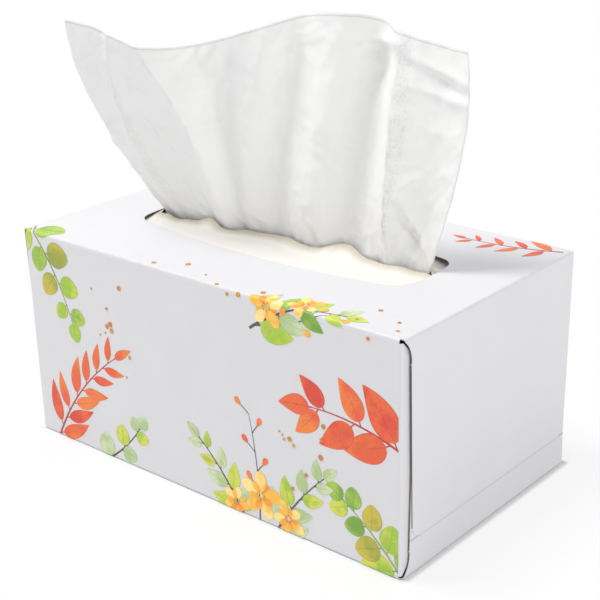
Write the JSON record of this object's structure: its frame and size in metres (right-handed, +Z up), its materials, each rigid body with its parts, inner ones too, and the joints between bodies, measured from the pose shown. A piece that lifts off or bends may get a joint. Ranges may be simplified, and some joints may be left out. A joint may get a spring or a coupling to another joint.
{
  "type": "tissue box",
  "caption": "Folded paperboard tissue carton with a film-lined top opening, a pad of interfolded tissues and one tissue drawn up through the slit.",
  "frame": {"origin": "middle of the carton's base, on the surface it stands on", "axes": "+X along the carton's length, +Y to its back, +Z up through the dispensing opening"},
  "size_m": [0.23, 0.13, 0.2183],
  "materials": {
    "carton_board": "satin coated board",
    "film": "soft translucent film",
    "tissue_paper": "soft matt tissue"
  },
  "bodies": {
    "root": {"carton": "carton_board", "slit_film": "film", "tissue_stack": "tissue_paper", "drawn_tissue": "tissue_paper"}
  },
  "joints": []
}
